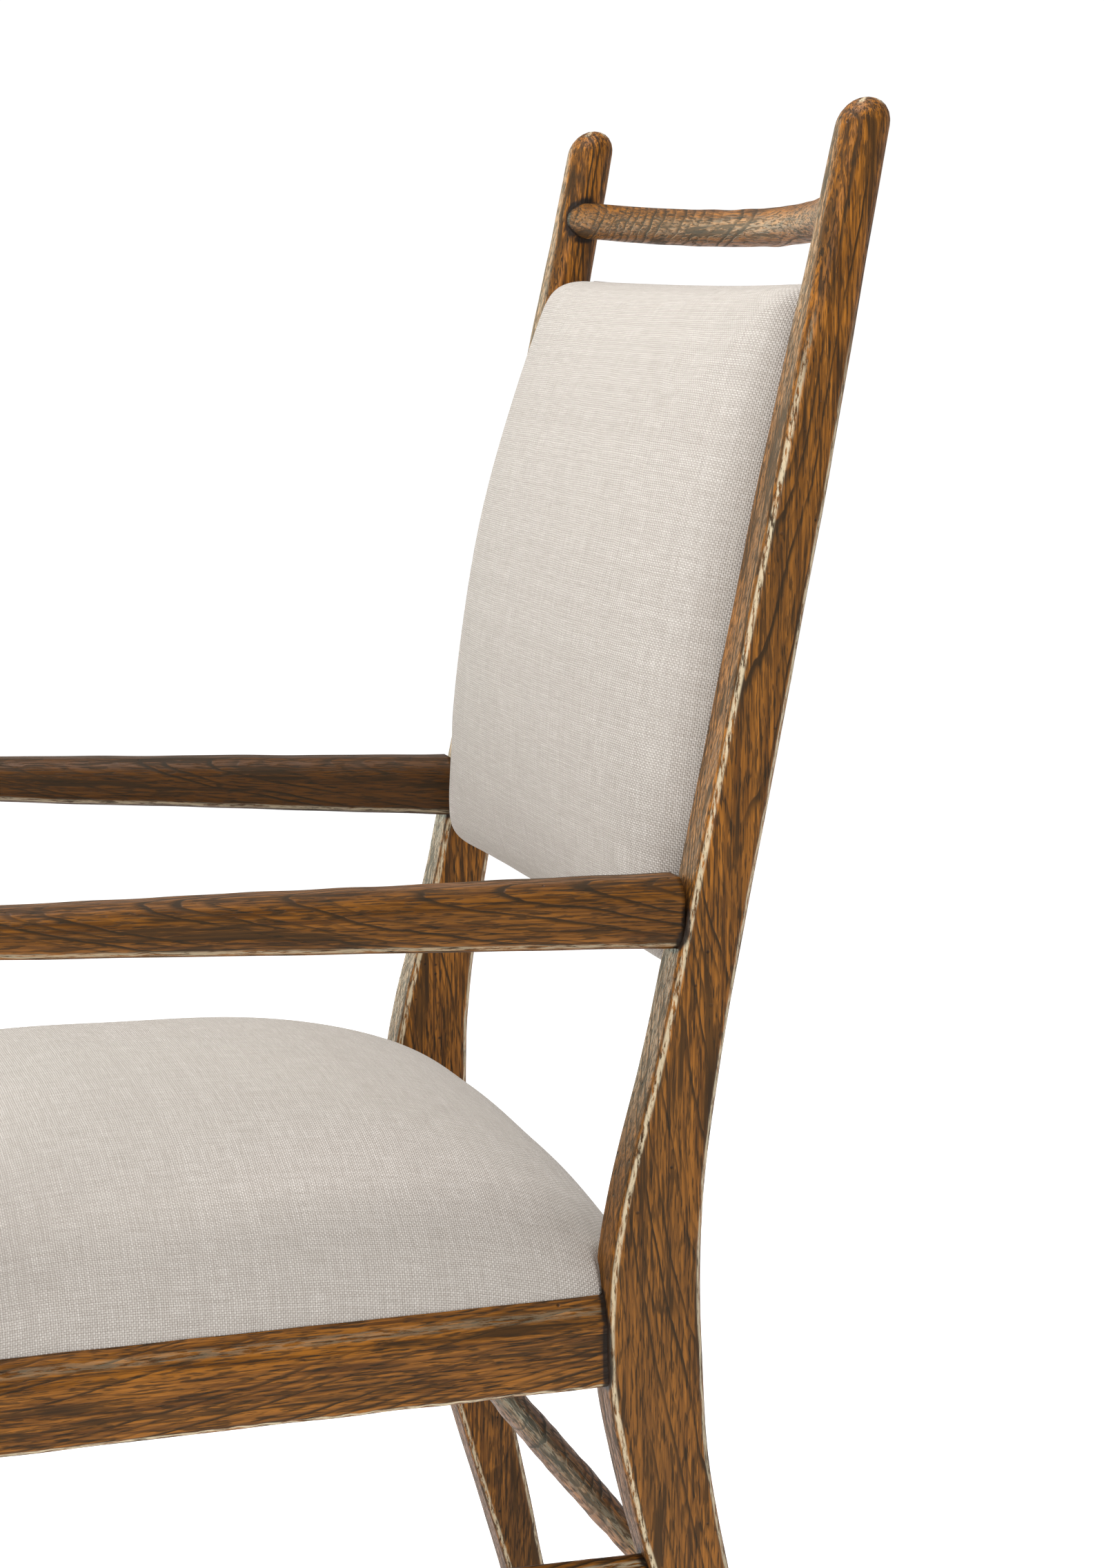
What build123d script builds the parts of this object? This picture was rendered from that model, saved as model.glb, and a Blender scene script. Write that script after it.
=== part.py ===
"""An open-arm dining chair in stained oak with an upholstered seat and back.

Frame: +Z up from the floor, +X to the sitter's left, -Y to the front. The origin is on the
floor under the middle of the chair's box. Millimetres and degrees.
"""
from build123d import *
from math import cos, radians, sin, sqrt, tan
import os

# Overall sizes
POST_SPACING = 500.0  # between the centre lines of the two rear posts
TOP_HEIGHT = 1100.0
ARM_LINE = 168.0  # Y of the line on which the arms meet the rear posts
GLIDE_HEIGHT = 3.0
GLIDE_RADIUS = 9.0
NAIL_RADIUS = 1.5
NAIL_LENGTH = 15.0

# Rear post: two straight runs, raked back above and splayed back below, joined by an arc
POST_WIDTH = 36.0
POST_TOP_WIDTH = 30.4
KNEE_HEIGHT = 418.0
KNEE_Y = ARM_LINE - 24.5
RAKE = 11.2
SPLAY = 14.0
KNEE_RADIUS = 486.0
POST_DEPTH = 36.0
POST_TOP_DEPTH = 29.4
KNEE_DEPTH = 56.0
FOOT_DEPTH = 28.0
POST_ARRIS = 7.0
TAPER_START = 900.0
DOME_RADIUS = 14.6
DOME_CENTRE = TOP_HEIGHT - DOME_RADIUS
POST_X = POST_SPACING / 2

# Arms: they toe out and rise a little towards the front
ARM_SIZE = (37.0, 39.5)
ARM_NOSE_SIZE = (32.0, 24.5)
ARM_TAPER_LENGTH = 420.0
ARM_X = 245.7
ARM_TOE_OUT = 0.10
ARM_Z = 657.5
ARM_RISE = 0.04
ARM_ARRIS = 9.0
ARM_SCRIBE = 16.0
ARM_RELIEF = 16.0  # how far ahead of the arm line an arm is cut back beside the pad
ARM_NOSE_ROUND = 16.0

# Front legs, leaning outwards from foot to arm
LEG_Y = ARM_LINE - 448.0
LEG_FOOT_X = 255.0
LEG_LEAN = 0.0525
LEG_SIZES = {GLIDE_HEIGHT: (28.0, 28.0), 410.0: (36.0, 38.0), 675.0: (30.0, 30.0)}

# Seat frame
RAIL_BOTTOM = 392.0
RAIL_TOP = 443.0
RAIL_THICKNESS = 28.0
RAIL_BEVEL = (10.0, 16.0)
SIDE_RAIL_X = 260.8  # outer face of a side rail on the arm line
SIDE_RAIL_TOE_OUT = 3.41
REAR_RAIL_FACE = ARM_LINE + 10.0
FRONT_RAIL_FACE = LEG_Y - 15.0
BLOCK_REACH = 60.0
BLOCK_BOTTOM = 403.0
CLOTH = 0.8

# Round members
SIDE_ROD_HEIGHT = 280.0
CROSS_ROD_HEIGHT = 266.0
ROD_RADIUS = 10.5
ROD_END_RADIUS = 8.5
ROD_TENON = 6.5
CREST_HEIGHT = 1040.0
CREST_SIZE = (22.0, 23.5)
CREST_BOW = 38.0
CREST_TENON = 7.5
TENON_LENGTH = 12.0

# Upholstery
SEAT_CROWN = 95.0
SEAT_REAR = ARM_LINE - 6.0
SEAT_FRONT = FRONT_RAIL_FACE + 8.0
SEAT_INSET = 10.0
BOARD_THICKNESS = 12.0
BOARD_INSET = 16.0
PAD_BOTTOM = 617.0
PAD_TOP = 999.0
PAD_HALF_WIDTH = 231.0
PAD_BOW = 29.0
PAD_THICKNESS = 40.0
PAD_STEP = 9.0  # how far the pad's side edges stand ahead of the posts
PAD_CROWN = 40.0  # and its middle
FRONT_FOAM = 18.0
CORE_THICKNESS = 10.0
CORE_INSET = 14.0
PAD_ROUND = 8.0
PAD_REST = 165.9  # Y of the pad's leaning plane at its foot

# Dowels, screws and bolts
FIT = 0.1
DOWEL_RADIUS = 4.5
DOWEL_LENGTH = 50.0
ARM_DOWEL_RADIUS = 6.0
LEG_DOWEL_LENGTH = 36.0
BOLT_RADIUS = 2.5
BOLT_LENGTH = 34.0
SCREW_RADIUS = 2.0
SCREW_HEAD = (4.0, 3.0)
SCREW_SEAT = 10.0
SCREW_SPREAD = 42.0  # from a block's corner to its screw into each rail
SEAT_SCREW_SPREAD = 22.0
BLOCK_SCREW_LENGTH = 26.0
SEAT_SCREW_LENGTH = 30.0
NOTCH = 100.0  # length of a cutting block that clears an upright


def post_centre(height):
    """Y of a rear post's centre line: a run of each slope, and the arc that joins them."""
    reach = KNEE_RADIUS * tan(radians(RAKE + SPLAY) / 2)
    low = KNEE_HEIGHT - reach * cos(radians(SPLAY))
    high = KNEE_HEIGHT + reach * cos(radians(RAKE))
    if height <= low:
        return KNEE_Y + (KNEE_HEIGHT - height) * tan(radians(SPLAY))
    if height >= high:
        return KNEE_Y + (height - KNEE_HEIGHT) * tan(radians(RAKE))
    arc_z = low + KNEE_RADIUS * sin(radians(SPLAY))
    arc_y = KNEE_Y + reach * sin(radians(SPLAY)) + KNEE_RADIUS * cos(radians(SPLAY))
    return arc_y - sqrt(KNEE_RADIUS**2 - (height - arc_z) ** 2)


def post_depth(height):
    """Front-to-back size of a rear post: slim foot, widest at the knee, tapering above it."""
    foot_end, swell, knee_end, top = 90, 400, 620, 1010
    if height <= foot_end:
        return FOOT_DEPTH
    if height <= swell:
        return FOOT_DEPTH + (KNEE_DEPTH - FOOT_DEPTH) * (height - foot_end) / (swell - foot_end)
    if height <= knee_end:
        fade = (1 + cos(radians(180 * (height - swell) / (knee_end - swell)))) / 2
        return POST_DEPTH + (KNEE_DEPTH - POST_DEPTH) * fade
    share = min(1.0, (height - knee_end) / (top - knee_end))
    return POST_DEPTH + (POST_TOP_DEPTH - POST_DEPTH) * share


def taper(height):
    """0 below the tapered top of a rear post, rising to 1 under its dome."""
    return max(0.0, (height - TAPER_START) / (DOME_CENTRE - TAPER_START))


def leg_x(height):
    """X of a front leg's centre line."""
    return LEG_FOOT_X + LEG_LEAN * height


def arm_x(y):
    """X of an arm's centre line."""
    return ARM_X + ARM_TOE_OUT * (ARM_LINE - y)


def arm_z(y):
    """Z of an arm's centre line."""
    return ARM_Z + ARM_RISE * (ARM_LINE - y)


def rail_x(y, inset=0.0):
    """X of a side rail's outer face, less an inset."""
    return SIDE_RAIL_X - inset + tan(radians(SIDE_RAIL_TOE_OUT)) * (ARM_LINE - y)


def pad_arc(x, offset):
    """Height of the back pad's arc above its chord, on the concentric arc at an offset."""
    radius = (PAD_HALF_WIDTH**2 + PAD_BOW**2) / (2 * PAD_BOW)
    return PAD_BOW - radius + sqrt((radius + offset) ** 2 - x**2)


POST_HEIGHTS = [GLIDE_HEIGHT, 30, 60, 90, 130, 170, 250, 310, 360, 400]
POST_HEIGHTS += [440, 480, 520, 560, 600, 640, 700, 760, 820, 880, 940, 990, 1040]
INNER_FACE = RAIL_THICKNESS / cos(radians(SIDE_RAIL_TOE_OUT))
BLOCK_TOP = RAIL_TOP - CLOTH
UP = (0, 0, 1)

# Dowels between rails and uprights: the side rails' and cross rails' take turns in height
rail_run = (sin(radians(SIDE_RAIL_TOE_OUT)), -cos(radians(SIDE_RAIL_TOE_OUT)), 0)
knee_face = ARM_LINE - 38.0  # the posts' front, where the side rails meet it
side_rail_joints = []
front_rail_joints = []
rear_rail_joints = []
for rise in (10, 30):
    side_height = RAIL_BOTTOM + rise
    cross_height = side_height + 10
    for y in (knee_face, LEG_Y + 19):
        spot = (rail_x(y, RAIL_THICKNESS / 2), y, side_height)
        side_rail_joints.append(Plane(origin=spot, x_dir=UP, z_dir=rail_run))
    spot = (leg_x(cross_height) - 18, FRONT_RAIL_FACE + RAIL_THICKNESS / 2, cross_height)
    front_rail_joints.append(Plane(origin=spot, x_dir=UP, z_dir=(1, 0, 0)))
    spot = (POST_X - POST_WIDTH / 2, REAR_RAIL_FACE - RAIL_THICKNESS / 2, cross_height)
    rear_rail_joints.append(Plane(origin=spot, x_dir=UP, z_dir=(1, 0, 0)))

# Dowels between the arms and the uprights
joint_y = ARM_LINE + 7
arm_run = (ARM_TOE_OUT, -1, ARM_RISE)
arm_rear_joint = Plane(origin=(arm_x(joint_y), joint_y, arm_z(joint_y)), x_dir=UP, z_dir=arm_run)
leg_top = arm_z(LEG_Y) - 15.0
arm_front_joint = Plane(origin=(leg_x(leg_top), LEG_Y, leg_top), z_dir=UP)

# Back upholstery: a plane that leans with the posts, and the bolts from its core into them
rake_up = (0, sin(radians(RAKE)), cos(radians(RAKE)))
pad_corner = (0, PAD_REST, PAD_BOTTOM)
pad_plane = Plane(origin=pad_corner, x_dir=(1, 0, 0), z_dir=rake_up)
pad_length = (PAD_TOP - PAD_BOTTOM) / cos(radians(RAKE))

# The pad's rounded top rear edge is the chair's rearmost point; the arms reach as far forward
round_y = (pad_arc(0, PAD_THICKNESS) - PAD_ROUND) * cos(radians(RAKE))
round_rise = (pad_length - PAD_ROUND) * sin(radians(RAKE))
arm_nose_y = -(pad_corner[1] + round_y + round_rise + PAD_ROUND)
bolt_y = pad_arc(PAD_HALF_WIDTH - CORE_INSET, FRONT_FOAM + CORE_THICKNESS / 2) - 1.5
pad_bolts = []
for along in (70.0, pad_length - 70.0):
    spot = pad_plane.from_local_coords(Vector(PAD_HALF_WIDTH - 1, bolt_y, along))
    pad_bolts.append(Plane(origin=spot, z_dir=(1, 0, 0)))

# Screws from the corner blocks into the rails, and up into the seat board
front_corner = FRONT_RAIL_FACE + RAIL_THICKNESS
rear_corner = REAR_RAIL_FACE - RAIL_THICKNESS
block_screws = []
seat_screws = []
for corner, inward in ((front_corner, 1), (rear_corner, -1)):
    seat = corner + inward * SCREW_SEAT
    spot = (rail_x(corner, INNER_FACE) - SCREW_SPREAD, seat, BLOCK_BOTTOM + 12)
    block_screws.append(Plane(origin=spot, x_dir=UP, z_dir=(0, -inward, 0)))
    side_y = corner + inward * SCREW_SPREAD
    spot = (rail_x(side_y, INNER_FACE) - SCREW_SEAT, side_y, BLOCK_BOTTOM + 28)
    block_screws.append(Plane(origin=spot, x_dir=UP, z_dir=(1, 0, 0)))
    board_y = corner + inward * SEAT_SCREW_SPREAD
    spot = (rail_x(corner, INNER_FACE) - SEAT_SCREW_SPREAD, board_y, BLOCK_TOP - 20)
    seat_screws.append(Plane(origin=spot, z_dir=UP))


def drill(planes, radius, length):
    """Take dowel holes out of the part in hand, centred on planes."""
    with Locations(*planes):
        Cylinder(radius + FIT, length + 2, mode=Mode.SUBTRACT)


def drill_screws(planes, length):
    """Take screw holes and the wells for their heads out of the part in hand."""
    from_seat = (Align.CENTER, Align.CENTER, Align.MIN)
    to_seat = (Align.CENTER, Align.CENTER, Align.MAX)
    with Locations(*planes):
        Cylinder(SCREW_RADIUS + FIT, length + 1, align=from_seat, mode=Mode.SUBTRACT)
        Cylinder(SCREW_HEAD[0] + 0.5, 60, align=to_seat, mode=Mode.SUBTRACT)


def pegs(planes, radius, length):
    """Dowels or bolts on planes, and the same on the chair's other side."""
    with BuildPart() as group:
        with Locations(*planes):
            Cylinder(radius, length)
        chamfer(group.edges().filter_by(GeomType.CIRCLE), 0.8)
        mirror(about=Plane.YZ)
    return group


def screws(planes, length):
    """Screws with their heads' undersides on planes, and the same on the other side."""
    with BuildPart() as group:
        with Locations(*planes):
            Cylinder(SCREW_RADIUS, length, align=(Align.CENTER, Align.CENTER, Align.MIN))
            Cylinder(*SCREW_HEAD, align=(Align.CENTER, Align.CENTER, Align.MAX))
        mirror(about=Plane.YZ)
    return group


def other_side(piece):
    """The same piece mirrored to the sitter's right."""
    with BuildPart() as twin:
        mirror(piece.part, about=Plane.YZ)
    return twin


def rod(start, end):
    """Round rod between two points, slimmer at its shoulders, with a tenon past each."""
    run = Vector(*end) - Vector(*start)
    run_plane = Plane(origin=start, x_dir=UP, z_dir=Vector(*UP).cross(run))
    shoulder = TENON_LENGTH
    far_shoulder = run.length - shoulder
    with BuildPart() as turned:
        with BuildSketch(run_plane):
            with BuildLine():
                Polyline((0, 0), (ROD_TENON, 0), (ROD_TENON, shoulder), (ROD_END_RADIUS, shoulder))
                ThreePointArc(
                    (ROD_END_RADIUS, shoulder), (ROD_RADIUS, run.length / 2), (ROD_END_RADIUS, far_shoulder)
                )
                Polyline(
                    (ROD_END_RADIUS, far_shoulder),
                    (ROD_TENON, far_shoulder),
                    (ROD_TENON, run.length),
                    (0, run.length),
                    (0, 0),
                )
            make_face()
        revolve(axis=Axis(start, run))
    return turned


def rail_profile():
    """Rail section: outer face on the plane's Y axis, with a bevelled top and a soft foot."""
    height = RAIL_TOP - RAIL_BOTTOM
    bevel_x, bevel_z = RAIL_BEVEL
    with BuildLine() as outline:
        Line((-RAIL_THICKNESS, 0), (-5, 0))
        RadiusArc((-5, 0), (0, 5), -5)
        Line((0, 5), (0, height - bevel_z))
        ThreePointArc((0, height - bevel_z), (-bevel_x * 0.36, height - bevel_z * 0.36), (-bevel_x, height))
        Polyline((-bevel_x, height), (-RAIL_THICKNESS, height), (-RAIL_THICKNESS, 0))
    make_face(outline.edges())


def pad_band(low, high, half_width):
    """Band between two concentric arcs of the back's curve, on the leaning plane."""
    side_low = pad_arc(half_width, low)
    side_high = pad_arc(half_width, high)
    with BuildLine() as outline:
        ThreePointArc((-half_width, side_low), (0, pad_arc(0, low)), (half_width, side_low))
        Line((half_width, side_low), (half_width, side_high))
        ThreePointArc((half_width, side_high), (0, pad_arc(0, high)), (-half_width, side_high))
        Line((-half_width, side_high), (-half_width, side_low))
    make_face(outline.edges())


def seat_outline(front, rear, inset, scale=1.0):
    """Seat plan: wider at the front, drawn in about its middle by a scale."""
    middle = (front + rear) / 2
    half = (rear - front) / 2 * scale
    front_x = rail_x(front, inset) * scale
    rear_x = rail_x(rear, inset) * scale
    front_y = middle - half
    rear_y = middle + half
    corners = [(-front_x, front_y), (front_x, front_y), (rear_x, rear_y), (-rear_x, rear_y)]
    Polygon(*corners, align=None)
    fillet(vertices(), 14 * scale)


# Rods, which reach into the uprights by their tenons
side_rod_y = post_centre(SIDE_ROD_HEIGHT) - post_depth(SIDE_ROD_HEIGHT) / 2 + TENON_LENGTH
side_rod_start = (POST_X, side_rod_y, SIDE_ROD_HEIGHT)
side_rod_end = (leg_x(SIDE_ROD_HEIGHT), LEG_Y + 17 - TENON_LENGTH, SIDE_ROD_HEIGHT)
rear_rod_y = post_centre(CROSS_ROD_HEIGHT) - 9
rear_rod_reach = POST_X - POST_WIDTH / 2 + TENON_LENGTH - 2
front_rod_reach = leg_x(CROSS_ROD_HEIGHT) - 16.5 + TENON_LENGTH
side_stretcher = rod(side_rod_start, side_rod_end)
rear_stretcher = rod(
    (-rear_rod_reach, rear_rod_y, CROSS_ROD_HEIGHT), (rear_rod_reach, rear_rod_y, CROSS_ROD_HEIGHT)
)
front_stretcher = rod(
    (-front_rod_reach, LEG_Y - 5, CROSS_ROD_HEIGHT), (front_rod_reach, LEG_Y - 5, CROSS_ROD_HEIGHT)
)
crest_socket_x = POST_X - 14
crest_tenon = Plane(origin=(crest_socket_x, post_centre(CREST_HEIGHT), CREST_HEIGHT), z_dir=(1, 0, 0))

# Uprights and arms
with BuildPart() as rear_post_left:
    for height in POST_HEIGHTS + [DOME_CENTRE]:
        width = POST_WIDTH + (POST_TOP_WIDTH - POST_WIDTH) * taper(height)
        arris = POST_ARRIS + (POST_TOP_DEPTH / 2 - 1 - POST_ARRIS) * taper(height)
        with BuildSketch(Plane.XY.offset(height)):
            with Locations((POST_X, post_centre(height))):
                RectangleRounded(width, post_depth(height), arris)
    loft()
    with Locations((POST_X, post_centre(DOME_CENTRE), DOME_CENTRE)):
        Sphere(DOME_RADIUS)
    rear_post_form = rear_post_left.part
    drill([side_rail_joints[0], side_rail_joints[2]] + rear_rail_joints, DOWEL_RADIUS, DOWEL_LENGTH)
    drill([arm_rear_joint], ARM_DOWEL_RADIUS, DOWEL_LENGTH)
    drill(pad_bolts, BOLT_RADIUS, BOLT_LENGTH)
    drill([crest_tenon], CREST_TENON, 18)
    add(side_stretcher.part, mode=Mode.SUBTRACT)
    add(rear_stretcher.part, mode=Mode.SUBTRACT)
    with Locations((POST_X, post_centre(0), GLIDE_HEIGHT)):
        Cylinder(NAIL_RADIUS + FIT, 2 * NAIL_LENGTH, mode=Mode.SUBTRACT)

with BuildPart() as arm_form:
    for run in (-ARM_SCRIBE, 40, 160, 300, ARM_TAPER_LENGTH, ARM_LINE - arm_nose_y - ARM_NOSE_ROUND):
        y = ARM_LINE - run
        share = min(1.0, max(0.0, run / ARM_TAPER_LENGTH))
        size = [a + (b - a) * share for a, b in zip(ARM_SIZE, ARM_NOSE_SIZE)]
        with BuildSketch(Plane.XZ.offset(-y)):
            with Locations((arm_x(y), arm_z(y))):
                RectangleRounded(*size, ARM_ARRIS)
    loft()
    for y, shrink in ((arm_nose_y + ARM_NOSE_ROUND, 1.0), (arm_nose_y + 5, 0.86), (arm_nose_y, 0.55)):
        with BuildSketch(Plane.XZ.offset(-y)):
            with Locations((arm_x(y), arm_z(y))):
                RectangleRounded(*[side * shrink for side in ARM_NOSE_SIZE], ARM_ARRIS * shrink)
    loft()

with BuildPart() as arm_left:
    add(arm_form.part)
    add(rear_post_form, mode=Mode.SUBTRACT)
    beside_pad = (Align.MAX, Align.MIN, Align.CENTER)
    with Locations((POST_X - POST_WIDTH / 2, ARM_LINE - ARM_RELIEF, ARM_Z)):
        Box(NOTCH, NOTCH, NOTCH, align=beside_pad, mode=Mode.SUBTRACT)
    drill([arm_rear_joint], ARM_DOWEL_RADIUS, DOWEL_LENGTH)
    drill([arm_front_joint], ARM_DOWEL_RADIUS, LEG_DOWEL_LENGTH)

with BuildPart() as front_leg_left:
    for height, (width, depth) in LEG_SIZES.items():
        with BuildSketch(Plane.XY.offset(height)):
            with Locations((leg_x(height), LEG_Y)):
                RectangleRounded(width, depth, POST_ARRIS)
    loft()
    add(arm_form.part, mode=Mode.SUBTRACT)
    front_leg_form = front_leg_left.part
    drill([side_rail_joints[1], side_rail_joints[3]] + front_rail_joints, DOWEL_RADIUS, DOWEL_LENGTH)
    drill([arm_front_joint], ARM_DOWEL_RADIUS, LEG_DOWEL_LENGTH)
    add(side_stretcher.part, mode=Mode.SUBTRACT)
    add(front_stretcher.part, mode=Mode.SUBTRACT)
    with Locations((leg_x(0), LEG_Y, GLIDE_HEIGHT)):
        Cylinder(NAIL_RADIUS + FIT, 2 * NAIL_LENGTH, mode=Mode.SUBTRACT)

rear_post_right = other_side(rear_post_left)
arm_right = other_side(arm_left)
front_leg_right = other_side(front_leg_left)
side_stretcher_right = other_side(side_stretcher)

with BuildPart() as crest_rail:
    crest_plane = Plane(origin=(0, post_centre(CREST_HEIGHT), CREST_HEIGHT), x_dir=(1, 0, 0), z_dir=rake_up)
    end = POST_X - 13
    with BuildLine(crest_plane):
        bow = ThreePointArc((-end, 0), (0, CREST_BOW), (end, 0))
    with BuildSketch(Plane(origin=bow @ 0, x_dir=rake_up, z_dir=bow % 0)):
        Ellipse(CREST_SIZE[1] / 2, CREST_SIZE[0] / 2)
    sweep()
    add(rear_post_form, mode=Mode.SUBTRACT)
    add(mirror(rear_post_form, about=Plane.YZ, mode=Mode.PRIVATE), mode=Mode.SUBTRACT)
    with Locations(crest_tenon, crest_tenon.offset(-2 * crest_socket_x)):
        Cylinder(CREST_TENON, 18)

# Seat frame
with BuildPart() as side_seat_rail_left:
    start = Vector(rail_x(knee_face + 12), knee_face + 12, RAIL_BOTTOM)
    run = (start.Y - LEG_Y - 17) / cos(radians(SIDE_RAIL_TOE_OUT))
    outward = (cos(radians(SIDE_RAIL_TOE_OUT)), sin(radians(SIDE_RAIL_TOE_OUT)), 0)
    with BuildSketch(Plane(origin=start, x_dir=outward, z_dir=rail_run)):
        rail_profile()
    extrude(amount=run)
    add(rear_post_form, mode=Mode.SUBTRACT)
    add(front_leg_form, mode=Mode.SUBTRACT)
    drill(side_rail_joints, DOWEL_RADIUS, DOWEL_LENGTH)
    drill_screws([block_screws[1], block_screws[3]], BLOCK_SCREW_LENGTH)
side_seat_rail_right = other_side(side_seat_rail_left)

with BuildPart() as rear_seat_rail:
    end = POST_X - 8
    rail_end = Plane(origin=(-end, REAR_RAIL_FACE, RAIL_BOTTOM), x_dir=(0, 1, 0), z_dir=(1, 0, 0))
    with BuildSketch(rail_end):
        rail_profile()
    extrude(amount=2 * end)
    for post in (rear_post_form, mirror(rear_post_form, about=Plane.YZ, mode=Mode.PRIVATE)):
        add(post, mode=Mode.SUBTRACT)
    drill(rear_rail_joints, DOWEL_RADIUS, DOWEL_LENGTH)
    drill_screws([block_screws[2]], BLOCK_SCREW_LENGTH)
    add(mirror(rear_seat_rail.part, about=Plane.YZ, mode=Mode.PRIVATE), mode=Mode.INTERSECT)

with BuildPart() as front_seat_rail:
    end = leg_x(RAIL_BOTTOM) - 6
    rail_end = Plane(origin=(end, FRONT_RAIL_FACE, RAIL_BOTTOM), x_dir=(0, -1, 0), z_dir=(-1, 0, 0))
    with BuildSketch(rail_end):
        rail_profile()
    extrude(amount=2 * end)
    for leg in (front_leg_form, mirror(front_leg_form, about=Plane.YZ, mode=Mode.PRIVATE)):
        add(leg, mode=Mode.SUBTRACT)
    drill(front_rail_joints, DOWEL_RADIUS, DOWEL_LENGTH)
    drill_screws([block_screws[0]], BLOCK_SCREW_LENGTH)
    add(mirror(front_seat_rail.part, about=Plane.YZ, mode=Mode.PRIVATE), mode=Mode.INTERSECT)


def corner_block(corner, inward, upright, screw_planes, board_screw):
    """Three-sided block that ties two rails, notched round the upright in its corner."""
    with BuildPart() as block:
        with BuildSketch(Plane.XY.offset(BLOCK_BOTTOM)):
            far = corner + inward * BLOCK_REACH
            near_x = rail_x(corner, INNER_FACE)
            points = [(near_x - BLOCK_REACH, corner), (near_x, corner), (rail_x(far, INNER_FACE), far)]
            Polygon(*points, align=None)
        extrude(amount=BLOCK_TOP - BLOCK_BOTTOM)
        add(upright, mode=Mode.SUBTRACT)
        drill_screws(screw_planes, BLOCK_SCREW_LENGTH)
        drill_screws([board_screw], SEAT_SCREW_LENGTH)
    return block


corner_block_front_left = corner_block(front_corner, 1, front_leg_form, block_screws[:2], seat_screws[0])
corner_block_rear_left = corner_block(rear_corner, -1, rear_post_form, block_screws[2:], seat_screws[1])

def cut_corners():
    """Take the corners that the uprights fill out of the seat plan in hand."""
    depth = 72
    for y, x in ((SEAT_REAR, POST_X - POST_WIDTH / 2 - 3), (SEAT_FRONT, leg_x(RAIL_TOP) - 21)):
        for side in (1, -1):
            with Locations((side * (x + NOTCH / 2), y)):
                Rectangle(NOTCH, depth, mode=Mode.SUBTRACT)


# Seat: plywood board with a lining under it, inside a crowned upholstered cushion
with BuildPart() as seat_board:
    with BuildSketch(Plane.XY.offset(RAIL_TOP)):
        seat_outline(SEAT_FRONT + 8, SEAT_REAR - 8, BOARD_INSET)
        cut_corners()
    extrude(amount=BOARD_THICKNESS)
    board_form = seat_board.part
    drill_screws(seat_screws, SEAT_SCREW_LENGTH)
    add(mirror(seat_board.part, about=Plane.YZ, mode=Mode.PRIVATE), mode=Mode.INTERSECT)

with BuildPart() as seat_dust_cover:
    with BuildSketch(Plane.XY.offset(RAIL_TOP - CLOTH)):
        seat_outline(front_corner + 2, rear_corner - 2, INNER_FACE + 2)
        cut_corners()
    extrude(amount=CLOTH)
    drill_screws(seat_screws, SEAT_SCREW_LENGTH)
    add(mirror(seat_dust_cover.part, about=Plane.YZ, mode=Mode.PRIVATE), mode=Mode.INTERSECT)

with BuildPart() as seat_cushion:
    for share in (0.0, 0.3, 0.55, 0.75, 0.88, 0.96, 1.0):
        drawn_in = max(0.3, (1 - share**2) ** 0.38)
        with BuildSketch(Plane.XY.offset(RAIL_TOP + SEAT_CROWN * share)):
            seat_outline(SEAT_FRONT, SEAT_REAR, SEAT_INSET, drawn_in)
    loft()
    for side in (1, -1):
        for y, x in ((knee_face - 3, POST_X - POST_WIDTH / 2 - 1), (LEG_Y + 20, leg_x(RAIL_TOP) - 19)):
            outward = Align.MIN if side > 0 else Align.MAX
            past = Align.MIN if y > 0 else Align.MAX
            with Locations((side * x, y, RAIL_TOP)):
                Box(NOTCH, NOTCH, 2 * NOTCH, align=(outward, past, Align.MIN), mode=Mode.SUBTRACT)
    add(board_form, mode=Mode.SUBTRACT)

# Back: a bowed plywood core inside a front pad, closed by a thinner pad behind
with BuildPart() as back_form:
    with BuildSketch(pad_plane):
        rear_side = pad_arc(PAD_HALF_WIDTH, PAD_THICKNESS)
        rear_middle = pad_arc(0, PAD_THICKNESS)
        with BuildLine() as outline:
            ThreePointArc((-PAD_HALF_WIDTH, -PAD_STEP), (0, -PAD_CROWN), (PAD_HALF_WIDTH, -PAD_STEP))
            Line((PAD_HALF_WIDTH, -PAD_STEP), (PAD_HALF_WIDTH, rear_side))
            ThreePointArc((PAD_HALF_WIDTH, rear_side), (0, rear_middle), (-PAD_HALF_WIDTH, rear_side))
            Line((-PAD_HALF_WIDTH, rear_side), (-PAD_HALF_WIDTH, -PAD_STEP))
        make_face(outline.edges())
    extrude(amount=pad_length)
    fillet(back_form.edges().filter_by(Axis(pad_corner, rake_up)), PAD_ROUND + 1)
    for end in (0, -1):
        fillet(back_form.faces().sort_by(Axis(pad_corner, rake_up))[end].edges(), PAD_ROUND)

with BuildPart() as back_core:
    with BuildSketch(pad_plane.offset(CORE_INSET)):
        pad_band(FRONT_FOAM, FRONT_FOAM + CORE_THICKNESS, PAD_HALF_WIDTH - CORE_INSET)
    extrude(amount=pad_length - 2 * CORE_INSET)
    drill(pad_bolts, BOLT_RADIUS, BOLT_LENGTH)
    add(mirror(back_core.part, about=Plane.YZ, mode=Mode.PRIVATE), mode=Mode.INTERSECT)

with BuildPart() as back_pad_rear:
    add(back_form.part)
    with BuildSketch(pad_plane.offset(-1)):
        pad_band(FRONT_FOAM + CORE_THICKNESS, PAD_THICKNESS + 5, PAD_HALF_WIDTH + 1)
    extrude(amount=pad_length + 2, mode=Mode.INTERSECT)

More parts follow.
